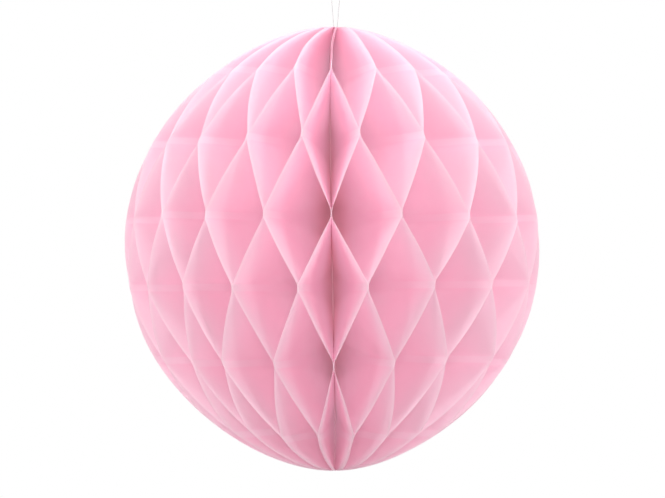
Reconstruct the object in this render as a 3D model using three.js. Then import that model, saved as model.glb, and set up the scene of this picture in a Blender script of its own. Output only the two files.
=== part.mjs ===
// Honeycomb paper ball: tissue leaves glued to each other in staggered strips and fanned round a spine,
// between two card covers that meet at the back, hung from a loop of thread.
// Millimetres, +Z up along the spine, origin at the middle of the ball, the front towards -Y.
// Angles round the spine are counted from the front, towards +X.

import * as THREE from 'three';

// Ball
const BALL_HEIGHT = 200;
const BALL_WIDTH = 187;
const RIM_FULLNESS = 2.07; // power of the height in the curve of the cut edge
const RIM_TAPER = 0.62; // power that draws the cut edge in to the poles
const TIP_WIDTH = 1.2; // flat end of a leaf at each pole

// Tissue leaves and the glue between them
const LEAF_COUNT = 40;
const TISSUE_THICKNESS = 0.12;
const GLUE_THICKNESS = 0.2;
const SPINE_SLACK = 1.1; // room round the bound edges, 1 packs them solid

// Glue strips across each leaf
const STRIP_HEIGHT = 3.2;
const STRIP_PITCH = 32.3;
const MIDDLE_PITCH = 29.5; // the widest row of cells pulls its strips closer
const STRIP_SHIFT = -2.6; // the strips sit a little below the middle of the leaf
const POLE_MARGIN = 8; // bare tissue past the outermost strip, at least

// How the leaves open
const SEAM_ANGLE = 171; // degrees, where the covers meet
const OPENING_SHIFT = 5.8; // degrees by which the side leaves are pulled round
const FOLD_EASE = 0.15; // 0 is a straight fold from strip to strip, 1 a soft one
const POLE_SPREAD = 0.94; // share of the fold that is left at the poles

// Card covers and their punched hole
const COVER_THICKNESS = 0.3;
const COVER_GAP = 0.1;
const HOLE_DIAMETER = 3;
const HOLE_FROM_SPINE = 7;
const HOLE_BELOW_TOP = 6;

// Hanging thread
const THREAD_DIAMETER = 0.35;
const THREAD_SIDES = 8;
const THREAD_STEPS = 80;

// Half of the thread's loop, from its end in the hole to the top: out from the covers, up from the hole
const THREAD_ROUTE = [
  [0.15, 0.6], [0.45, 0.66], [0.75, 0.95], [0.86, 1.4], [0.82, 2.6], [0.76, 4.2], [0.72, 5.9],
  [0.9, 9], [1.25, 13], [1.7, 18.7], [2.3, 26], [2.9, 33], [3.2, 38], [2.9, 41.6], [1.8, 44.1],
];
const THREAD_TOP = [0, 45];

// Facets
const BAY_STEPS = 3; // between two strips
const CAP_STEPS = 5; // from the outermost strip to the pole
const HOLE_SIDES = 16;

// Colours
const TISSUE_PINK = 0xf8b3cb;
const CARD_PINK = 0xf3c3d3;
const THREAD_WHITE = 0xe9e4e4;

const HALF_HEIGHT = BALL_HEIGHT / 2;
const COLUMN_PITCH = (2 * Math.PI) / LEAF_COUNT;
const SEAM = THREE.MathUtils.degToRad(SEAM_ANGLE);
const OPENING = THREE.MathUtils.degToRad(OPENING_SHIFT);
const SHEET_PITCH = TISSUE_THICKNESS + GLUE_THICKNESS;

// Distance from the seam to the glue on a cover, which fades to nothing opposite the seam
const STAND_OFF = COVER_GAP / 2 + COVER_THICKNESS + GLUE_THICKNESS / 2;

// Radius at which the bound edges of the leaves still lie clear of each other
const TIGHTEST_PITCH = COLUMN_PITCH * (1 - OPENING);
const SPINE_RADIUS = (SPINE_SLACK * (SHEET_PITCH + (2 * STAND_OFF) / LEAF_COUNT)) / TIGHTEST_PITCH;
const TIP_RADIUS = SPINE_RADIUS + TIP_WIDTH;

// Radius of the cut edge at a height
function rimAt(height) {
  const share = Math.min(Math.abs(height) / HALF_HEIGHT, 1);
  return TIP_RADIUS + (BALL_WIDTH / 2 - TIP_RADIUS) * (1 - share ** RIM_FULLNESS) ** RIM_TAPER;
}

// Angle that a leaf, evenly spaced at first, takes up once the ball is opened
function openedAngle(even) {
  return even + OPENING * Math.sin(even) ** 2;
}

// Glue strips from the bottom up, numbered from the one just above the middle
function makeStrips() {
  const strips = [];
  const reach = HALF_HEIGHT - POLE_MARGIN - STRIP_HEIGHT / 2;
  const most = Math.ceil(HALF_HEIGHT / STRIP_PITCH);
  for (let number = -most; number < most; number += 1) {
    const steps = number < 0 ? -1 - number : number;
    const side = number < 0 ? -1 : 1;
    const height = STRIP_SHIFT + side * (MIDDLE_PITCH / 2 + steps * STRIP_PITCH);
    if (Math.abs(height) < reach) strips.push({ number, height });
  }
  return strips;
}

const STRIPS = makeStrips();
const LOWEST = STRIPS[0];
const HIGHEST = STRIPS[STRIPS.length - 1];

// Heights of the fold lines of every leaf, from the bottom pole to the top one
function makeRows() {
  const half = STRIP_HEIGHT / 2;
  const capRow = (edge, step) => {
    const start = Math.asin(edge / HALF_HEIGHT);
    const end = (Math.sign(edge) * Math.PI) / 2;
    return HALF_HEIGHT * Math.sin(THREE.MathUtils.lerp(start, end, step / CAP_STEPS));
  };
  const rows = [];
  for (let step = CAP_STEPS; step > 0; step -= 1) rows.push(capRow(LOWEST.height - half, step));
  STRIPS.forEach((strip, at) => {
    rows.push(strip.height - half, strip.height + half);
    const next = STRIPS[at + 1];
    for (let step = 1; next && step < BAY_STEPS; step += 1) {
      rows.push(THREE.MathUtils.lerp(strip.height + half, next.height - half, step / BAY_STEPS));
    }
  });
  for (let step = 1; step <= CAP_STEPS; step += 1) rows.push(capRow(HIGHEST.height + half, step));
  return rows;
}

const ROWS = makeRows();

// Side that a leaf is glued to at a strip: -1 towards the leaf before it, 1 towards the leaf after it
function gluedSide(leaf, strip) {
  return (leaf + strip.number) % 2 === 0 ? 1 : -1;
}

// Fold of a leaf at a height, from -1 to 1
function foldAt(leaf, height) {
  const half = STRIP_HEIGHT / 2;
  const capFold = (strip) => {
    const edge = Math.abs(strip.height) + half;
    const share = Math.max(Math.abs(height) - edge, 0) / (HALF_HEIGHT - edge);
    return gluedSide(leaf, strip) * THREE.MathUtils.lerp(1, POLE_SPREAD, share);
  };
  if (height <= LOWEST.height) return capFold(LOWEST);
  if (height >= HIGHEST.height) return capFold(HIGHEST);
  const above = STRIPS.findIndex((strip) => strip.height >= height);
  const [lower, upper] = [STRIPS[above - 1], STRIPS[above]];
  const bay = upper.height - lower.height - STRIP_HEIGHT;
  const share = THREE.MathUtils.clamp((height - lower.height - half) / bay, 0, 1);
  const soft = THREE.MathUtils.smoothstep(share, 0, 1);
  const ease = THREE.MathUtils.lerp(share, soft, FOLD_EASE);
  return THREE.MathUtils.lerp(gluedSide(leaf, lower), gluedSide(leaf, upper), ease);
}

// Four corners of a leaf's section at a height: spine and rim on its near face, then on its far face
function leafSection(leaf, height) {
  const fold = foldAt(leaf, height);
  const column = leaf + (1 + fold) / 2;
  const angle = openedAngle(SEAM + COLUMN_PITCH * column);
  const outward = new THREE.Vector3(Math.sin(angle), -Math.cos(angle), 0);
  const across = new THREE.Vector3(Math.cos(angle), Math.sin(angle), 0);
  const middle = STAND_OFF * (1 - (2 * column) / LEAF_COUNT) - (fold * SHEET_PITCH) / 2;
  const corner = (radius, face) => new THREE.Vector3(0, 0, height)
    .addScaledVector(outward, radius)
    .addScaledVector(across, middle + (face * TISSUE_THICKNESS) / 2);
  const rim = rimAt(height);
  return [corner(SPINE_RADIUS, -1), corner(rim, -1), corner(rim, 1), corner(SPINE_RADIUS, 1)];
}

// Closed solid through a stack of four-cornered sections. Opposite walls are split along the same
// diagonal, so a twisted sheet keeps its thickness.
function loft(sections) {
  const last = 4 * (sections.length - 1);
  const faces = [0, 2, 1, 0, 3, 2, last, last + 1, last + 2, last, last + 2, last + 3];
  for (let base = 0; base < last; base += 4) {
    for (let side = 0; side < 4; side += 1) {
      const a = base + side;
      const b = base + ((side + 1) % 4);
      const [c, d] = [b + 4, a + 4];
      faces.push(...(side < 2 ? [a, b, c, a, c, d] : [a, b, d, b, c, d]));
    }
  }
  const geometry = new THREE.BufferGeometry().setFromPoints(sections.flat());
  geometry.setIndex(faces);
  geometry.computeVertexNormals();
  return geometry;
}

function makeLeaf(leaf) {
  const material = new THREE.MeshStandardMaterial({ color: TISSUE_PINK, roughness: 0.95, metalness: 0 });
  const mesh = new THREE.Mesh(loft(ROWS.map((height) => leafSection(leaf, height))), material);
  mesh.name = `leaf_${String(leaf + 1).padStart(2, '0')}`;
  return mesh;
}

// Half disc of card in the plane of the seam, cut to the same edge as the leaves
function makeCover(name, farFace) {
  const outline = new THREE.Shape(ROWS.map((height) => new THREE.Vector2(rimAt(height), height)));
  outline.lineTo(SPINE_RADIUS, HALF_HEIGHT);
  outline.lineTo(SPINE_RADIUS, -HALF_HEIGHT);
  const hole = new THREE.Path();
  hole.absarc(HOLE_FROM_SPINE, HALF_HEIGHT - HOLE_BELOW_TOP, HOLE_DIAMETER / 2, 0, 2 * Math.PI);
  outline.holes.push(hole);
  const geometry = new THREE.ExtrudeGeometry(outline, {
    depth: COVER_THICKNESS,
    curveSegments: HOLE_SIDES,
    bevelEnabled: false,
  });
  const material = new THREE.MeshStandardMaterial({ color: CARD_PINK, roughness: 0.8, metalness: 0 });
  const mesh = new THREE.Mesh(geometry, material);
  mesh.name = name;
  mesh.rotation.x = Math.PI / 2;
  mesh.position.y = farFace;
  return mesh;
}

// Loop of thread through the hole in both covers
function makeThread() {
  const place = ([out, up]) => new THREE.Vector3(0, out, up);
  const mirror = ([out, up]) => new THREE.Vector3(0, -out, up);
  const rise = THREAD_ROUTE.map(place);
  const fall = THREAD_ROUTE.map(mirror).reverse();
  const path = new THREE.CatmullRomCurve3([...rise, place(THREAD_TOP), ...fall]);
  const section = new THREE.Shape();
  for (let side = 0; side < THREAD_SIDES; side += 1) {
    const angle = (2 * Math.PI * side) / THREAD_SIDES;
    const point = [Math.cos(angle), Math.sin(angle)].map((value) => (value * THREAD_DIAMETER) / 2);
    if (side === 0) section.moveTo(...point);
    else section.lineTo(...point);
  }
  const geometry = new THREE.ExtrudeGeometry(section, { steps: THREAD_STEPS, extrudePath: path });
  const material = new THREE.MeshStandardMaterial({ color: THREAD_WHITE, roughness: 0.9, metalness: 0 });
  const mesh = new THREE.Mesh(geometry, material);
  mesh.name = 'hanging_thread';
  mesh.position.set(HOLE_FROM_SPINE, 0, HALF_HEIGHT - HOLE_BELOW_TOP);
  return mesh;
}

const ball = new THREE.Group();
for (let leaf = 0; leaf < LEAF_COUNT; leaf += 1) ball.add(makeLeaf(leaf));

// The seam's own frame: X out from the spine, Y across the covers
const seam = new THREE.Group();
seam.rotation.z = openedAngle(SEAM) - Math.PI / 2;
seam.add(makeCover('first_cover', COVER_GAP / 2 + COVER_THICKNESS));
seam.add(makeCover('last_cover', -COVER_GAP / 2));
seam.add(makeThread());
ball.add(seam);

export default ball;
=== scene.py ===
# Honeycomb paper ball: pink tissue leaves, card covers and a loop of thread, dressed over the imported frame.
import math

import bmesh
import bpy
import numpy as np
from mathutils import Matrix, Vector


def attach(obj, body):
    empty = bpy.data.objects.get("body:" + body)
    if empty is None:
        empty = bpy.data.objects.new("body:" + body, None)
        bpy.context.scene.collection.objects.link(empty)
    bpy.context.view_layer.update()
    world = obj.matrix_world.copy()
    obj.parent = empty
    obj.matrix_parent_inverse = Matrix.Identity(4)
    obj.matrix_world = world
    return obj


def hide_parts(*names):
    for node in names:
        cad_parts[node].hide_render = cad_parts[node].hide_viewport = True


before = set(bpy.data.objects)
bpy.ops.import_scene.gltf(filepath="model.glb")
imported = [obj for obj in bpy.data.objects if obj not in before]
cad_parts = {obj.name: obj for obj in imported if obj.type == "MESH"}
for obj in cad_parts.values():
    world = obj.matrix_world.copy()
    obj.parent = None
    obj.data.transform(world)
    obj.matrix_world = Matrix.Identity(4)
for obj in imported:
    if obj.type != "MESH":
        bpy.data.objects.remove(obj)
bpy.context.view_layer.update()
scene = bpy.context.scene
scene.view_settings.view_transform = "Standard"
print("frame:", len(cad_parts), "nodes")

# Where the photo was taken from, with the ball's middle at the origin
photo = {
    "width": 665,                  # pixels
    "height": 498,
    "ballAt": (331.9, 248.4),      # pixel of the ball's middle
    "pixelsPerMetre": 2207,        # at the ball's middle
    "distance": 0.815,
    "elevation": -1.4,             # degrees, a little from below
    "sensor": 36,
}


def placeCamera():
    lens = bpy.data.cameras.new("photoCamera")
    lens.sensor_width = photo["sensor"]
    lens.lens = photo["sensor"] * photo["pixelsPerMetre"] * photo["distance"] / photo["width"]
    lens.shift_x = (photo["width"] / 2 - photo["ballAt"][0]) / photo["width"]
    lens.shift_y = (photo["ballAt"][1] - photo["height"] / 2) / photo["width"]
    camera = bpy.data.objects.new("photoCamera", lens)
    scene.collection.objects.link(camera)
    tilt = math.radians(photo["elevation"])
    camera.location = (0, -photo["distance"] * math.cos(tilt), photo["distance"] * math.sin(tilt))
    camera.rotation_euler = (math.pi / 2 - tilt, 0, 0)
    scene.camera = camera


placeCamera()
print("camera: placed")


class Wire:                        # a shader socket that can be written into sums
    def __init__(self, tree, socket=None):
        self.tree = tree
        self.socket = socket

    def node(self, kind, settings=None, inputs=None, output=0):
        made = self.tree.nodes.new("ShaderNode" + kind)
        for name, value in (settings or {}).items():
            setattr(made, name, value)
        for name, value in (inputs or {}).items():
            if isinstance(value, Wire):
                self.tree.links.new(value.socket, made.inputs[name])
            else:
                made.inputs[name].default_value = value
        return Wire(self.tree, made.outputs[output] if made.outputs else None)

    def maths(self, operation, first, second):
        vectors = [x for x in (first, second) if isinstance(x, tuple) or getattr(x, "isVector", False)]
        kind = "VectorMath" if vectors else "Math"
        return self.node(kind, {"operation": operation}, {0: first, 1: second})

    @property
    def isVector(self):
        return self.socket.type == "VECTOR"

    def __add__(self, other):
        return self.maths("ADD", self, other)

    def __radd__(self, other):
        return self.maths("ADD", other, self)

    def __sub__(self, other):
        return self.maths("SUBTRACT", self, other)

    def __rsub__(self, other):
        return self.maths("SUBTRACT", other, self)

    def __mul__(self, other):
        return self.maths("MULTIPLY", self, other)

    def __rmul__(self, other):
        return self.maths("MULTIPLY", other, self)

    def between(self, low, high):  # 0 below low, 1 above high, soft in between
        settings = {"interpolation_type": "SMOOTHSTEP"}
        return self.node("MapRange", settings, {"Value": self, "From Min": low, "From Max": high})

    def noise(self, scale, detail, roughness):
        inputs = {"Vector": self, "Scale": scale, "Detail": detail, "Roughness": roughness}
        return self.node("TexNoise", {}, inputs)

    def tint(self, ground, colour):  # ground where this is 0, colour where it is 1
        return self.node("Mix", {"data_type": "RGBA"}, {0: self, 6: ground, 7: colour}, output=2)


def newMaterial(name):
    material = bpy.data.materials.new(name)
    material.use_nodes = True
    material.node_tree.nodes.clear()
    return material, Wire(material.node_tree)


def showSurface(wire, shader):
    wire.node("OutputMaterial", {}, {"Surface": shader})


def addPiece(name, mesh, material, node):
    piece = bpy.data.objects.new(name, mesh)
    scene.collection.objects.link(piece)
    mesh.materials.append(material)
    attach(piece, "root")
    if node:
        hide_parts(node)
    return piece


def rgba(colour):
    return (*colour, 1)


def tubeMesh(name, points, sharpAngle=60):  # rings of points joined into a closed tube
    rings, sides = points.shape[:2]
    index = np.arange(rings * sides).reshape(rings, sides)
    near, far = index[:-1], index[1:]
    walls = np.stack([near, np.roll(near, -1, 1), np.roll(far, -1, 1), far], -1).reshape(-1, 4)
    ends = [index[0, ::-1].tolist(), index[-1].tolist()]
    mesh = bpy.data.meshes.new(name)
    mesh.from_pydata(points.reshape(-1, 3).tolist(), [], [*walls.tolist(), *ends])
    mesh.shade_smooth()
    mesh.set_sharp_from_angle(angle=math.radians(sharpAngle))
    return mesh


# The ball's form, in metres and degrees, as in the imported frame
ball = {
    "height": 0.2,
    "width": 0.187,
    "rimFullness": 2.07,           # power of the height in the curve of the cut edge
    "rimTaper": 0.62,              # power that draws the cut edge in to the poles
    "tipWidth": 0.0012,            # flat end of a leaf at each pole
    "leaves": 40,
    "spineSlack": 1.1,
    "spineBow": 0.0006,            # how far both poles are to the right of the middle
    "spineLean": 0.0017,           # how far the spine leans, to the left above and to the right below
    "neck": 0.087,                 # height from which the leaves lean over to the pole
    "topLean": 0.0021,             # at the front, to the right
    "bottomLean": 0.0017,
    "seamAngle": 171,              # where the covers meet, from the front
    "openingShift": 5.8,           # by which the side leaves are pulled round
}
leaf = {
    "thickness": 0.00012,
    "glue": 0.0002,                # thickness of the glue between two leaves
    "glueFill": 0.9,               # share of it that is filled
    "stripHeight": 0.0032,
    "stripPitch": 0.0323,
    "middlePitch": 0.0295,
    "stripShift": -0.0026,
    "strips": range(-3, 3),        # numbered from the one just above the middle
    "poleSpread": (0.9, 0.85),     # share of the fold that is left at the bottom and the top pole
    "pinch": 0.007,                # by which two leaves hold together above and below a strip, at the spine
    "edgeThickness": 0.00004,      # at the cut edge
    "edgeTaper": 0.002,
    "flare": 0.0012,               # by which the cut edges turn away from the front
    "flareDepth": 0.005,           # how far behind the cut edge that starts
    "flareTurn": 4,                # degrees from the front within which they do so less
    "crease": 0.0018,              # half of the height over which a fold turns
    "nodeTurn": 0.5,               # degrees by which a glued spot is off, as a spread
    "nodeRise": 0.0007,
    "rimSpread": 0.0003,
    "buckle": 0.00025,             # most that the tissue bulges between strips
    "buckleWaves": (0.011, 0.013),  # along the spine and out from it, for each radian
    "buckleSlant": 3,              # radians from the spine to the cut edge
    "stripRows": 5,
    "bayRows": 22,
    "capRows": 24,
    "rowBunch": 0.8,               # by which rows draw together at the folds
    "columns": 15,
    "columnBunch": 0.12,           # by which columns draw together at the spine and the cut edge
    "rimSteps": 1600,              # at which the angle of a straight cut edge is worked out
    "sharpAngle": 50,
    "grainStep": 0.1,              # from leaf to leaf, so that no two have the same grain
    "seed": 7,
}
binding = {
    "lap": 0.0005,                 # by which it holds the leaves' edges
    "rows": 60,
}
cover = {
    "thickness": 0.0003,
    "gap": 0.0001,
    "holeDiameter": 0.003,
    "holeFromSpine": 0.007,
    "holeBelowTop": 0.006,
    "holeSides": 40,
    "rimRows": 160,
    "bendRows": 24,                # cuts across, so that the card can follow the bow
}

halfHeight = ball["height"] / 2
columnPitch = 2 * math.pi / ball["leaves"]
seam = math.radians(ball["seamAngle"])
opening = math.radians(ball["openingShift"])
sheetPitch = leaf["thickness"] + leaf["glue"]
standOff = cover["gap"] / 2 + cover["thickness"] + leaf["glue"] / 2
tightestPitch = columnPitch * (1 - opening)
spineRadius = ball["spineSlack"] * (sheetPitch + 2 * standOff / ball["leaves"]) / tightestPitch
tipRadius = spineRadius + ball["tipWidth"]


def rimRadius(z):
    share = np.minimum(np.abs(z) / halfHeight, 1)
    fullness = (1 - share ** ball["rimFullness"]) ** ball["rimTaper"]
    return tipRadius + (ball["width"] / 2 - tipRadius) * fullness


def openedAngle(even):             # from the front, towards +X
    return even + opening * np.sin(even) ** 2


def bowed(z):                      # how far the spine is to the right
    return ball["spineBow"] * np.clip(z / halfHeight, -1, 1) ** 2


def leaned(z):                     # the same for its lean, which the cut edges don't follow
    share = np.clip(z / halfHeight, -1, 1)
    return -ball["spineLean"] * share * (1 - share ** 6)


def followSpine(points):           # moves points sideways, as far as the spine takes them along
    x, y, z = np.moveaxis(points, -1, 0)
    out = np.clip((np.hypot(x, y) - spineRadius) / (rimRadius(z) - spineRadius), 0, 1)
    points[..., 0] += bowed(z) + leaned(z) * (1 - out)
    return points


def frontShare(angle):             # 1 at the front, 0 at the back
    return ((1 + np.cos(angle)) / 2) ** 2


def tipTurn(z, angle):             # turn by which a leaf leans over beside the poles
    lean = np.where(z > 0, ball["topLean"], ball["bottomLean"])
    share = np.clip((np.abs(z) - ball["neck"]) / (halfHeight - ball["neck"]), 0, 1)
    return lean * share / rimRadius(z) * frontShare(angle)


def flareTurn(angle, rim, radius):  # turn by which the tissue behind the cut edge is nearer to the front
    behind = np.clip((rim - radius) / leaf["flareDepth"], 0, 1)
    reach = leaf["flare"] / rim * behind * (2 - behind) * radius / rim
    side = np.tanh((angle - 2 * math.pi) / math.radians(leaf["flareTurn"]))
    return reach * side * frontShare(angle)


def stripHeight(number):
    side = 1 if number >= 0 else -1
    steps = number if number >= 0 else -1 - number
    return leaf["stripShift"] + side * (leaf["middlePitch"] / 2 + steps * leaf["stripPitch"])


# Outer ends of glue strips seen in the photo, in pixels, for every second column from the first
seenSpots = {
    2: (19, [(295, 65.4), (331.3, 65.4), (375.5, 66.2)]),
    1: (14, [(168.6, 140.3), (198.9, 139.5), (247.1, 136.3), (301.7, 132.3), (359.8, 132.3),
             (424.4, 134.7), (477, 140.3)]),
    0: (15, [(161.8, 214.4), (205.6, 214.4), (263.2, 213.6), (331.3, 213.3), (402.1, 212.9),
             (469.8, 216), (516.8, 219.2)]),
    -1: (16, [(182.6, 287), (232.4, 287.8), (297.7, 287.8), (368.3, 287), (435.1, 284.6), (492.1, 284.6)]),
    -2: (15, [(192.5, 363.6), (223.3, 364.4), (273.8, 365.1), (333.9, 366.5), (394.6, 363.5),
              (446.7, 360.3), (492.1, 359.6)]),
    -3: (18, [(283.4, 439.3), (318, 437.7), (353.5, 438.5), (386.1, 437.7)]),
}


def placeSeen(x, y):               # angle and height at which a point of the ball's outside is seen there
    tilt = math.radians(photo["elevation"])
    near = ball["width"] / 2
    for _ in range(40):            # closes in on the near side
        scale = (1 - near / photo["distance"]) / photo["pixelsPerMetre"]
        up = (photo["ballAt"][1] - y) * scale
        z = near * math.sin(tilt) + up * math.cos(tilt)
        side = (x - photo["ballAt"][0]) * scale - bowed(z)
        out = math.sqrt(max(rimRadius(z) ** 2 - side ** 2, 0))
        near = out * math.cos(tilt) + z * math.sin(tilt)
    return math.atan2(side, out), z


# Glued spots are a little off their places, alike for the two leaves that meet there
chance = np.random.default_rng(leaf["seed"])
spotCount = (ball["leaves"] + 1, len(leaf["strips"]))
spotTurn = np.clip(chance.normal(size=spotCount), -2, 2) * math.radians(leaf["nodeTurn"])
spotRise = np.clip(chance.normal(size=spotCount), -2, 2) * leaf["nodeRise"]
for seamColumn in (0, ball["leaves"]):
    spotTurn[seamColumn] = 0
    spotRise[seamColumn] = 0
for strip, (first, spots) in seenSpots.items():
    for at, (x, y) in enumerate(spots):
        column = first + 2 * at
        angle, z = placeSeen(x, y)
        usual = openedAngle(seam + columnPitch * column) - 2 * math.pi
        spotTurn[column, strip - leaf["strips"][0]] = angle - usual
        spotRise[column, strip - leaf["strips"][0]] = z - stripHeight(strip)


def leafKnots(number):             # height, angle, stand-off and side at a leaf's folds, from the bottom
    def knot(z, column, fold, turn):
        angle = openedAngle(seam + columnPitch * column) + turn
        across = standOff * (1 - 2 * column / ball["leaves"]) - fold * sheetPitch / 2
        return z, angle, across, fold

    knots = []
    for at, strip in enumerate(leaf["strips"]):
        side = 1 if (number + strip) % 2 == 0 else -1
        column = number + (1 + side) // 2
        middle = stripHeight(strip) + spotRise[column, at]
        for edge in (-0.5, 0.5):
            knots.append(knot(middle + edge * leaf["stripHeight"], column, side, spotTurn[column, at]))
        if at in (0, len(leaf["strips"]) - 1):
            fold = side * leaf["poleSpread"][int(middle > 0)]
            end = math.copysign(halfHeight, middle)
            pole = knot(end, number + (1 + fold) / 2, fold, spotTurn[column, at])
            knots.insert(0 if at == 0 else len(knots), pole)
    return np.array(knots)


def leafRows(heights):             # closer together at the folds and the poles
    rows = []
    for at in range(len(heights) - 1):
        low, high = heights[at], heights[at + 1]
        if at in (0, len(heights) - 2):
            start, end = np.arcsin(np.array([low, high]) / halfHeight)
            rows.append(halfHeight * np.sin(np.linspace(start, end, leaf["capRows"], endpoint=False)))
        else:
            steps = leaf["stripRows"] if at % 2 else leaf["bayRows"]
            share = np.linspace(0, 1, steps, endpoint=False)
            bunch = leaf["rowBunch"] * np.sin(2 * math.pi * share) / (2 * math.pi)
            rows.append(low + (high - low) * (share - bunch))
    return np.append(np.concatenate(rows), halfHeight)


def pinched(heights, pinch):       # knots at the edges of strips that are that much taller on both sides
    return heights + pinch * np.array([0, *[-1, 1] * len(leaf["strips"]), 0])


def straightRim(heights, angles):  # angles between the knots that keep the cut edge straight
    z = np.linspace(-halfHeight, halfHeight, leaf["rimSteps"])
    at = np.clip(np.searchsorted(heights, z) - 1, 0, len(heights) - 2)
    share = (z - heights[at]) / (heights[at + 1] - heights[at])
    middle = (angles[at] + angles[at + 1]) / 2
    low, high = (rimRadius(heights[k]) * (angles[k] - middle) for k in (at, at + 1))
    straight = middle + (low + (high - low) * share) / rimRadius(z)
    atPole = (at == 0) | (at == len(heights) - 2)
    return z, np.where(atPole, angles[at] + (angles[at + 1] - angles[at]) * share, straight)


def softened(z, heights, values):  # straight from knot to knot, rounded at the knots
    total = 0
    taps = np.linspace(-0.9, 0.9, 13)
    weights = 1 - np.abs(taps)
    for tap, weight in zip(taps, weights / weights.sum()):
        total = total + weight * np.interp(z + tap * leaf["crease"], heights, values)
    return total


def sheetFaces(rows, columns):     # two skins of a grid and the walls round them
    index = np.arange(rows * columns).reshape(rows, columns)
    behind = index + rows * columns
    a, b, c, d = index[:-1, :-1], index[:-1, 1:], index[1:, 1:], index[1:, :-1]
    skin = np.stack([a, b, c, d], -1).reshape(-1, 4)
    rim = np.concatenate([index[0, :-1], index[:-1, -1], index[-1, :0:-1], index[:0:-1, 0]])
    ahead = np.roll(rim, -1)
    walls = np.stack([rim, ahead, ahead + behind[0, 0], rim + behind[0, 0]], -1)
    return np.concatenate([skin[:, ::-1], skin + behind[0, 0], walls])


def addVectors(mesh, name, vectors):
    layer = mesh.attributes.new(name, "FLOAT_VECTOR", "POINT")
    layer.data.foreach_set("vector", vectors.astype(np.float32).ravel())


def leafMesh(number):
    heights, angles, offsets, sides = leafKnots(number).T
    z = leafRows(heights)
    stripMiddles = (heights[1:-1:2] + heights[2:-1:2]) / 2
    stripGap = np.abs(z[:, None] - stripMiddles[None, :]).min(1)[:, None]
    share = np.linspace(0, 1, leaf["columns"])[None, :]
    share = share - leaf["columnBunch"] * np.sin(2 * math.pi * share)
    pinches = leaf["pinch"] * (1 - share[0]) ** 2
    angle = np.stack([softened(z, *straightRim(pinched(heights, pinch), angles)) for pinch in pinches], -1)
    across = softened(z, heights, offsets)[:, None]
    own = np.random.default_rng((leaf["seed"], number))
    rim = rimRadius(z) + own.normal() * leaf["rimSpread"] * (1 - (z / halfHeight) ** 2)
    radius = spineRadius + (rim - spineRadius)[:, None] * share
    angle = angle + tipTurn(z[:, None], angle) - flareTurn(angle, rim[:, None], radius)
    between = np.interp(z, heights, np.arange(len(heights)))
    bulge = np.where(np.floor(between) % 2 == 0, np.sin(math.pi * (between % 1)), 0)[:, None] ** 2
    phase = own.uniform(0, 2 * math.pi, 2)
    along, outward = leaf["buckleWaves"]
    wave = np.sin(z[:, None] / along + phase[0] + leaf["buckleSlant"] * share)
    wave = wave + np.sin(radius / outward + phase[1])
    across = across + leaf["buckle"] * bulge * share ** 2 * wave / 2
    fold = np.interp(z, heights, sides)
    glued = np.clip((leaf["stripHeight"] / 2 + leaf["crease"] - stripGap) / leaf["crease"], 0, 1)
    atEdge = np.clip(1 - (rim[:, None] - radius) / leaf["edgeTaper"], 0, 1)
    thickness = leaf["thickness"] + (leaf["edgeThickness"] - leaf["thickness"]) * atEdge
    tall = np.broadcast_to(z[:, None], radius.shape)
    skins = []
    for face in (-0.5, 0.5):
        onGlue = glued * (np.sign(fold) == np.sign(face))[:, None]
        offset = across + face * (thickness + leaf["glueFill"] * leaf["glue"] * onGlue)
        x = radius * np.sin(angle) + offset * np.cos(angle)
        y = -radius * np.cos(angle) + offset * np.sin(angle)
        skins.append(np.stack([x, y, tall], -1).reshape(-1, 3))
    mesh = bpy.data.meshes.new(f"tissueLeaf{number + 1:02d}")
    points = followSpine(np.concatenate(skins))
    mesh.from_pydata(points.tolist(), [], sheetFaces(*radius.shape).tolist())
    mesh.shade_smooth()
    mesh.set_sharp_from_angle(angle=math.radians(leaf["sharpAngle"]))
    flat = np.stack([radius, tall, np.full(radius.shape, leaf["grainStep"] * number)], -1)
    spot = np.stack(np.broadcast_arrays(rim[:, None] - radius, stripGap, 0.0), -1)
    addVectors(mesh, "sheetPoint", np.tile(flat.reshape(-1, 3), (2, 1)))
    addVectors(mesh, "sheetSpot", np.tile(spot.reshape(-1, 3), (2, 1)))
    return mesh


# Thin matt tissue: colours are linear, lengths in metres
tissue = {
    "pink": (0.986, 0.945, 0.965),
    "rimPink": (0.988, 0.806, 0.877),
    "deepLightFade": (0.012, 0.045),      # from the cut edge, over which painted light makes the tissue paler deeper in the cells
    "deepPink": (0.95, 0.75, 0.84),
    # of paler fibres, and of the painted highlight along the cut edge
    "palePink": (0.995, 0.955, 0.963),
    # where leaves are glued: partly the glue's own tone, partly painted light on the doubled tissue
    "glueAndLightPink": (0.99, 0.912, 0.952),
    "spineShadePink": (0.965, 0.69, 0.745),
    "spineShadeFade": (0.052, 0.092),    # from the cut edge, over which painted shade makes the tissue as deep as at the spine
    "spineShadeTint": 0.8,
    "through": (0.979, 0.829, 0.891),  # colour of the light that comes through
    "seeThrough": 0.62,
    "seeThroughSpread": 0.12,
    "glueWidth": 0.0017,
    "edgeHighlightFade": (0.0002, 0.002),   # from the cut edge, where a painted highlight makes the tissue palest
    "edgeHighlightTint": 0.6,
    "cloudScale": 140,             # waves in a metre
    "cloudTint": 0.25,
    "fibreScale": 1900,
    "fibreStretch": 0.12,          # a fibre's width as a share of its length
    "fibreTint": 0.25,
    "roughness": 0.82,             # and more where the tissue is cloudy
    "roughnessSpread": 0.15,
    "gloss": 0.2,
    "bump": 0.15,
    "bumpHeight": 0.00006,
}


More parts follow.
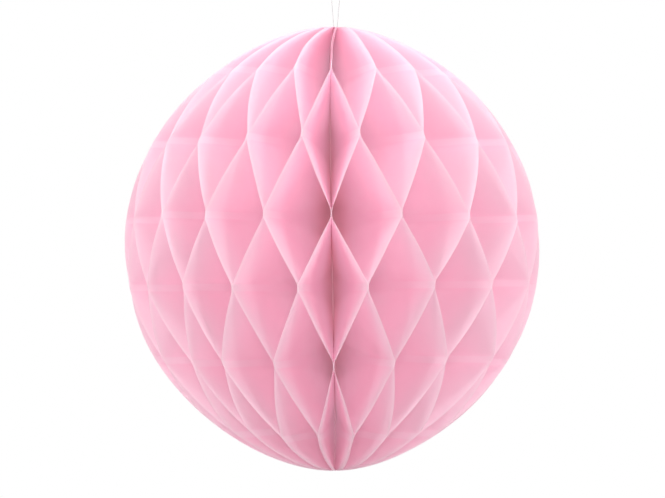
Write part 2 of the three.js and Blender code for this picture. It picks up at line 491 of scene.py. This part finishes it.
def tissueMaterial():
    material, wire = newMaterial("pinkTissue")
    point = wire.node("Attribute", {"attribute_name": "sheetPoint"}, output="Vector")
    spot = wire.node("Attribute", {"attribute_name": "sheetSpot"}, output="Vector")
    rimGap = wire.node("SeparateXYZ", {}, {"Vector": spot}, output="X")
    stripGap = wire.node("SeparateXYZ", {}, {"Vector": spot}, output="Y")
    clouds = point.noise(tissue["cloudScale"], 3, 0.6)
    fibresAlong = (point * (1, tissue["fibreStretch"], 1)).noise(tissue["fibreScale"], 3, 0.6)
    fibresAcross = (point * (tissue["fibreStretch"], 1, 1)).noise(tissue["fibreScale"], 3, 0.6)
    fibres = fibresAlong.between(0.56, 0.72) + fibresAcross.between(0.58, 0.74)
    glued = 1 - stripGap.between(0.7 * tissue["glueWidth"], tissue["glueWidth"])
    # painted highlight: paler tissue along the cut edge
    edgeHighlight = 1 - rimGap.between(*tissue["edgeHighlightFade"])
    # painted light: paler tissue deeper in the cells, away from the cut edge
    colour = rimGap.between(*tissue["deepLightFade"]).tint(rgba(tissue["rimPink"]), rgba(tissue["pink"]))
    colour = (clouds.between(0.3, 0.7) * tissue["cloudTint"]).tint(colour, rgba(tissue["deepPink"]))
    colour = (fibres * tissue["fibreTint"]).tint(colour, rgba(tissue["palePink"]))
    # glued strips: partly the glue's own tone, partly painted light that lifts the shade of the doubled
    # tissue
    colour = glued.tint(colour, rgba(tissue["glueAndLightPink"]))
    # painted shade: darker pink deep in the cells towards the spine
    spineShade = rimGap.between(*tissue["spineShadeFade"])
    colour = (spineShade * tissue["spineShadeTint"]).tint(colour, rgba(tissue["spineShadePink"]))
    colour = (edgeHighlight * tissue["edgeHighlightTint"]).tint(colour, rgba(tissue["palePink"]))
    relief = fibres * 0.5 + clouds
    bump = wire.node("Bump", {}, {
        "Strength": tissue["bump"], "Distance": tissue["bumpHeight"], "Height": relief,
    })
    paper = wire.node("BsdfPrincipled", {}, {
        "Base Color": colour, "Roughness": tissue["roughness"] + clouds * tissue["roughnessSpread"],
        "Specular IOR Level": tissue["gloss"], "Normal": bump,
    })
    light = wire.node("BsdfTranslucent", {}, {"Color": rgba(tissue["through"]), "Normal": bump})
    share = tissue["seeThrough"] + (clouds - 0.5) * tissue["seeThroughSpread"]
    showSurface(wire, wire.node("MixShader", {}, {0: share, 1: paper, 2: light}))
    return material


def bindingMesh():                 # the leaves' straight edges, glued together along the spine
    turn = np.linspace(0, 2 * math.pi, 2 * ball["leaves"], endpoint=False)
    z = np.linspace(-halfHeight, halfHeight, binding["rows"])
    radius = spineRadius + binding["lap"]
    points = np.stack(np.broadcast_arrays(radius * np.cos(turn), radius * np.sin(turn), z[:, None]), -1)
    mesh = tubeMesh("boundEdges", followSpine(points.copy()))
    addVectors(mesh, "sheetPoint", points.reshape(-1, 3))
    addVectors(mesh, "sheetSpot", np.full((points.size // 3, 3), ball["width"] / 2))
    return mesh


def makeLeaves():
    material = tissueMaterial()
    for number in range(ball["leaves"]):
        name = f"{number + 1:02d}"
        addPiece("tissueLeaf" + name, leafMesh(number), material, "leaf_" + name)
    addPiece("boundEdges", bindingMesh(), material, None)


makeLeaves()
print("leaves:", ball["leaves"])

# Uncoated card of the two covers
card = {
    "pink": (0.88, 0.52, 0.63),
    "palePink": (0.93, 0.62, 0.72),
    "fleck": (0.78, 0.40, 0.52),
    "fleckTint": 0.35,
    "cloudScale": 160,             # waves in a metre
    "fibreScale": 2200,
    "fleckScale": 900,
    "gloss": 0.3,
    "bump": 0.25,
    "bumpHeight": 0.00004,
}


def cardMaterial():
    material, wire = newMaterial("pinkCard")
    point = wire.node("TexCoord", output="Object")
    clouds = point.noise(card["cloudScale"], 4, 0.6)
    fibres = (point * (1, 1, 0.2)).noise(card["fibreScale"], 3, 0.6)
    flecks = point.noise(card["fleckScale"], 1, 0.4).between(0.7, 0.76)
    colour = clouds.between(0.35, 0.65).tint(rgba(card["pink"]), rgba(card["palePink"]))
    colour = (flecks * card["fleckTint"]).tint(colour, rgba(card["fleck"]))
    bump = wire.node("Bump", {}, {
        "Strength": card["bump"], "Distance": card["bumpHeight"], "Height": fibres + clouds * 0.5,
    })
    board = wire.node("BsdfPrincipled", {}, {
        "Base Color": colour, "Roughness": 0.7 + fibres * 0.2, "Specular IOR Level": card["gloss"],
        "Normal": bump,
    })
    showSurface(wire, board)
    return material


def seamFrame():                   # X out from the spine, Y across the covers
    return Matrix.Rotation(openedAngle(seam) - math.pi / 2, 4, "Z")


def coverMesh(name, nearFace):
    shape = bmesh.new()

    def ring(points):
        spots = [shape.verts.new((x, nearFace, z)) for x, z in points]
        return [shape.edges.new((spots[at - 1], spots[at])) for at in range(len(spots))]

    heights = halfHeight * np.sin(np.linspace(-math.pi / 2, math.pi / 2, cover["rimRows"]))
    outline = [(float(rimRadius(z)), float(z)) for z in heights]
    turns = np.linspace(0, 2 * math.pi, cover["holeSides"], endpoint=False)
    holeHeight = halfHeight - cover["holeBelowTop"]
    hole = [(cover["holeFromSpine"] + cover["holeDiameter"] / 2 * math.cos(turn),
             holeHeight + cover["holeDiameter"] / 2 * math.sin(turn)) for turn in turns]
    edges = ring([*outline, (spineRadius, halfHeight), (spineRadius, -halfHeight)]) + ring(hole)
    bmesh.ops.triangle_fill(shape, use_beauty=True, edges=edges, normal=(0, 1, 0))
    for z in np.linspace(-halfHeight, halfHeight, cover["bendRows"] + 2)[1:-1]:
        everything = [*shape.verts, *shape.edges, *shape.faces]
        bmesh.ops.bisect_plane(shape, geom=everything, plane_co=(0, 0, z), plane_no=(0, 0, 1))
    skin = bmesh.ops.extrude_face_region(shape, geom=list(shape.faces))
    moved = [part for part in skin["geom"] if isinstance(part, bmesh.types.BMVert)]
    bmesh.ops.translate(shape, verts=moved, vec=(0, cover["thickness"], 0))
    bmesh.ops.recalc_face_normals(shape, faces=list(shape.faces))
    bmesh.ops.transform(shape, matrix=seamFrame(), verts=list(shape.verts))
    spots = sorted(shape.verts, key=lambda spot: tuple(spot.co))  # in the same order each time
    number = {spot: at for at, spot in enumerate(spots)}
    rings = [[number[spot] for spot in face.verts] for face in shape.faces]
    faces = sorted(ring[at:] + ring[:at] for ring in rings for at in [ring.index(min(ring))])
    points = followSpine(np.array([spot.co for spot in spots]))
    shape.free()
    mesh = bpy.data.meshes.new(name)
    mesh.from_pydata(points.tolist(), [], faces)
    return mesh


def makeCovers():
    material = cardMaterial()
    nearFaces = {"first": cover["gap"] / 2, "last": -cover["gap"] / 2 - cover["thickness"]}
    for which, nearFace in nearFaces.items():
        mesh = coverMesh(which + "CardCover", nearFace)
        addPiece(which + "CardCover", mesh, material, which + "_cover")


makeCovers()
print("covers: 2")

# Twisted cotton thread, in a loop through the hole of both covers
thread = {
    "diameter": 0.00035,
    "plies": 3,
    "plyDepth": 0.12,              # share of the radius between plies
    "twist": 0.0022,               # length of one turn
    "sides": 18,
    "step": 0.00012,
    "curveSteps": 60,              # between two spots of the route
    "white": (0.58, 0.58, 0.58),
    "grey": (0.44, 0.44, 0.44),
    "lintScale": 9000,             # waves in a metre
    "gloss": 0.3,
    "route": [                     # half of the loop in millimetres: out from the covers, up from the hole
        (0.15, 0.6), (0.45, 0.66), (0.75, 0.95), (0.86, 1.4), (0.82, 2.6), (0.76, 4.2), (0.72, 5.9),
        (0.9, 9), (1.25, 13), (1.7, 18.7), (2.3, 26), (2.9, 33), (3.2, 38), (2.9, 41.6), (1.8, 44.1),
    ],
    "top": (0, 45),
}


def blend(p, q, t, low, high):     # p at the time low, q at the time high
    return p + (q - p) * (t - low) / (high - low)


def threadPath():                  # evenly spaced points of a smooth curve through the route
    rise = [(0, out, up) for out, up in thread["route"]]
    fall = [(0, -out, up) for out, up in reversed(thread["route"])]
    spots = np.array([*rise, (0, *thread["top"]), *fall]) / 1000
    spots = np.concatenate([[2 * spots[0] - spots[1]], spots, [2 * spots[-1] - spots[-2]]])
    line = []
    for a, b, c, d in zip(spots, spots[1:], spots[2:], spots[3:]):
        legs = ((a, b), (b, c), (c, d))
        times = np.cumsum([0, *[np.linalg.norm(q - p) ** 0.5 for p, q in legs]])
        t = np.linspace(times[1], times[2], thread["curveSteps"], endpoint=False)[:, None]
        ab, bc, cd = (blend(p, q, t, times[k], times[k + 1]) for k, (p, q) in enumerate(legs))
        abc = blend(ab, bc, t, times[0], times[2])
        bcd = blend(bc, cd, t, times[1], times[3])
        line.append(blend(abc, bcd, t, times[1], times[2]))
    line = np.concatenate([*line, spots[-2:-1]])
    run = np.append(0, np.cumsum(np.linalg.norm(np.diff(line, axis=0), axis=1)))
    even = np.linspace(0, run[-1], round(run[-1] / thread["step"]) + 1)
    path = np.stack([np.interp(even, run, line[:, axis]) for axis in range(3)], -1)
    place = Matrix.Translation((cover["holeFromSpine"], 0, halfHeight - cover["holeBelowTop"]))
    turned = [seamFrame() @ place @ Vector(point) for point in path]
    return followSpine(np.array(turned)), run[-1]


def threadMesh(path):
    along = np.gradient(path, axis=0)
    along /= np.linalg.norm(along, axis=1)[:, None]
    side = np.cross(along, seamFrame().to_3x3() @ Vector((1, 0, 0)))  # the loop lies in a plane
    side /= np.linalg.norm(side, axis=1)[:, None]
    up = np.cross(side, along)
    turn = np.linspace(0, 2 * math.pi, thread["sides"], endpoint=False)
    twist = 2 * math.pi * thread["step"] / thread["twist"] * np.arange(len(path))[:, None]
    dent = thread["plyDepth"] * np.abs(np.sin(thread["plies"] * (turn - twist) / 2)) - thread["plyDepth"]
    radius = (thread["diameter"] / 2 * (1 + dent))[..., None]
    ring = np.cos(turn)[None, :, None] * side[:, None] + np.sin(turn)[None, :, None] * up[:, None]
    return tubeMesh("hangingThread", path[:, None] + radius * ring)


def threadMaterial():
    material, wire = newMaterial("cottonThread")
    point = wire.node("TexCoord", output="Object")
    lint = (point * (1, 1, 0.3)).noise(thread["lintScale"], 2, 0.6)
    colour = lint.between(0.3, 0.7).tint(rgba(thread["grey"]), rgba(thread["white"]))
    cotton = wire.node("BsdfPrincipled", {}, {
        "Base Color": colour, "Roughness": 0.75 + lint * 0.2, "Specular IOR Level": thread["gloss"],
        "Sheen Weight": 0.2, "Sheen Roughness": 0.5,
    })
    showSurface(wire, cotton)
    return material


def makeThread():
    path, length = threadPath()
    piece = addPiece("hangingThread", threadMesh(path), threadMaterial(), "hanging_thread")
    print("thread:", round(length, 4), "m")


makeThread()

# Even studio light from all round, with small lamps near the top
studio = {
    "horizon": (1.17, 1.17, 1.17),
    "horizonSpan": ((-0.16, 0.06), (0.2, 0.5)),  # heights over which it comes up and goes down
    "lamps": {                     # place, width in metres, power in watts
        "front": ((0, -1.6, 0.15), 0.3, 5.1),
        "frontLeft": ((-0.98, -1.26, 0.15), 0.3, 3.7),
        "frontRight": ((0.98, -1.26, 0.15), 0.3, 4.4),
        "backLeft": ((-1.25, 0.95, -0.35), 0.5, 5.6),
        "backRight": ((1.25, 0.95, -0.35), 0.5, 6.6),
        "back": ((0, 1.6, 0.15), 0.3, 4.0),
        "nearLeft": ((-0.35, -0.25, 0.4), 0.3, 0.72),
        "nearRight": ((0.35, -0.25, 0.4), 0.3, 0.54),
        "nearBackLeft": ((-0.35, 0.25, 0.4), 0.3, 0.5),
        "nearBackRight": ((0.35, 0.25, 0.4), 0.3, 0.5),
        "nearTop": ((0, -0.12, 0.2), 0.08, 0.145),
    },
    "bounces": 20,                 # light goes deep into the cells
    "wander": 0.065,               # light that has strayed through many leaves
    "wanderReach": 0.0005,
    "floorHeight": -0.56,
    "floorRadius": 3.5,
    "floorFade": (0.25, 0.95),     # shares of the radius over which it ends
    "floor": (0.76, 0.76, 0.76),
    "floorRoughness": 0.9,
    "floorGlow": 0.75,             # share of the white room that is seen in it
}


def seenRays(wire):                # 1 where the room is seen and not only lights something
    camera, glossy = (wire.node("LightPath", output=f"Is {kind} Ray") for kind in ("Camera", "Glossy"))
    return (camera + glossy).between(0, 1)


def makeWorld():
    world = bpy.data.worlds.new("softRoom")
    scene.world = world
    world.use_nodes = True
    world.node_tree.nodes.clear()
    wire = Wire(world.node_tree)
    direction = wire.node("TexCoord", output="Generated")
    height = wire.node("SeparateXYZ", {}, {"Vector": direction}, output="Z")
    rise, fall = (height.between(*span) for span in studio["horizonSpan"])
    room = (rise - fall).tint((0, 0, 0, 1), rgba(studio["horizon"]))
    shown = seenRays(wire).tint(room, (1, 1, 1, 1))
    wire.node("OutputWorld", {}, {"Surface": wire.node("Background", {}, {"Color": shown, "Strength": 1})})


def makeLamps():
    for name, (place, width, power) in studio["lamps"].items():
        lamp = bpy.data.lights.new(name, "AREA")
        lamp.shape = "DISK"
        lamp.size = width
        lamp.energy = power
        holder = bpy.data.objects.new(name, lamp)
        scene.collection.objects.link(holder)
        holder.location = place
        holder.visible_camera = False
        holder.rotation_euler = Vector(place).to_track_quat("Z", "Y").to_euler()


def makeFloor():
    shape = bmesh.new()
    bmesh.ops.create_circle(shape, cap_ends=True, segments=96, radius=studio["floorRadius"])
    mesh = bpy.data.meshes.new("studioFloor")
    shape.to_mesh(mesh)
    shape.free()
    material, wire = newMaterial("paleFloor")
    point = wire.node("TexCoord", output="Object")
    reach = wire.node("VectorMath", {"operation": "LENGTH"}, {0: point}, output="Value")
    fade = reach.between(*(share * studio["floorRadius"] for share in studio["floorFade"]))
    fade = fade + (1 - fade) * seenRays(wire) * studio["floorGlow"]
    paint = wire.node("BsdfPrincipled", {}, {
        "Base Color": rgba(studio["floor"]), "Roughness": studio["floorRoughness"],
    })
    clear = wire.node("BsdfTransparent", {})
    showSurface(wire, wire.node("MixShader", {}, {0: fade, 1: paint, 2: clear}))
    mesh.materials.append(material)
    floor = bpy.data.objects.new("studioFloor", mesh)
    scene.collection.objects.link(floor)
    floor.location.z = studio["floorHeight"]


def setBounces():
    scene.cycles.max_bounces = studio["bounces"]
    scene.cycles.diffuse_bounces = studio["bounces"]
    scene.cycles.transmission_bounces = studio["bounces"]
    scene.cycles.use_fast_gi = True
    scene.cycles.fast_gi_method = "ADD"
    scene.world.light_settings.ao_factor = studio["wander"]
    scene.world.light_settings.distance = studio["wanderReach"]


makeWorld()
makeLamps()
makeFloor()
setBounces()
print("studio: lit")
